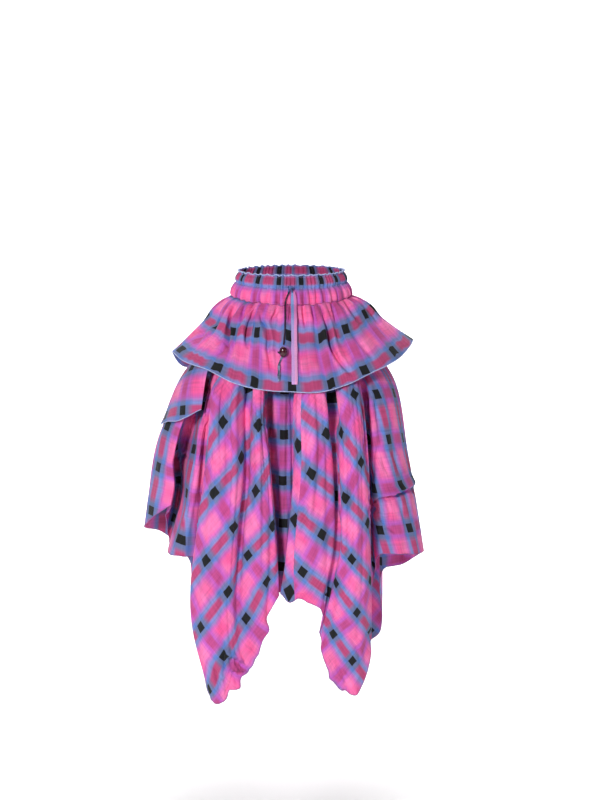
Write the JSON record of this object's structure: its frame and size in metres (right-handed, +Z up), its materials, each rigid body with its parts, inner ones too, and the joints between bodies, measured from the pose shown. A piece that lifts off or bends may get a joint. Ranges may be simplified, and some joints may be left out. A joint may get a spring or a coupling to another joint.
{
  "type": "handkerchief skirt",
  "caption": "Gathered cotton madras check skirt with elasticated waistband, flared peplum, pointed handkerchief hem and a drawstring, shown as worn.",
  "frame": {"origin": "centre of the waist opening, level with the waistband's top edge, where the wearer's waist holds the skirt", "axes": "+Z up along the wearer, the wearer faces -Y, +X to the right of someone looking at the front"},
  "size_m": [0.6802, 0.4262, 1.0182],
  "materials": {
    "check_cotton": "matte woven cotton, pink, blue and black madras check",
    "dark_cord": "matte twisted cord, dark maroon and slate",
    "flat_tie": "matte folded cotton, lavender",
    "glossy_bead": "glossy dark maroon"
  },
  "bodies": {
    "root": {"waistband": "check_cotton", "peplum_front": "check_cotton", "peplum_back": "check_cotton", "hip_flap": "check_cotton", "skirt_side_left": "check_cotton", "skirt_front_left": "check_cotton", "skirt_centre_front": "check_cotton", "skirt_front_right": "check_cotton", "skirt_side_right": "check_cotton", "skirt_back_right": "check_cotton", "skirt_back_left": "check_cotton", "drawstring_knot": "dark_cord", "drawstring_left": "dark_cord", "drawstring_tail": "dark_cord", "drawstring_bead": "glossy_bead", "drawstring_right": "flat_tie"}
  },
  "joints": []
}
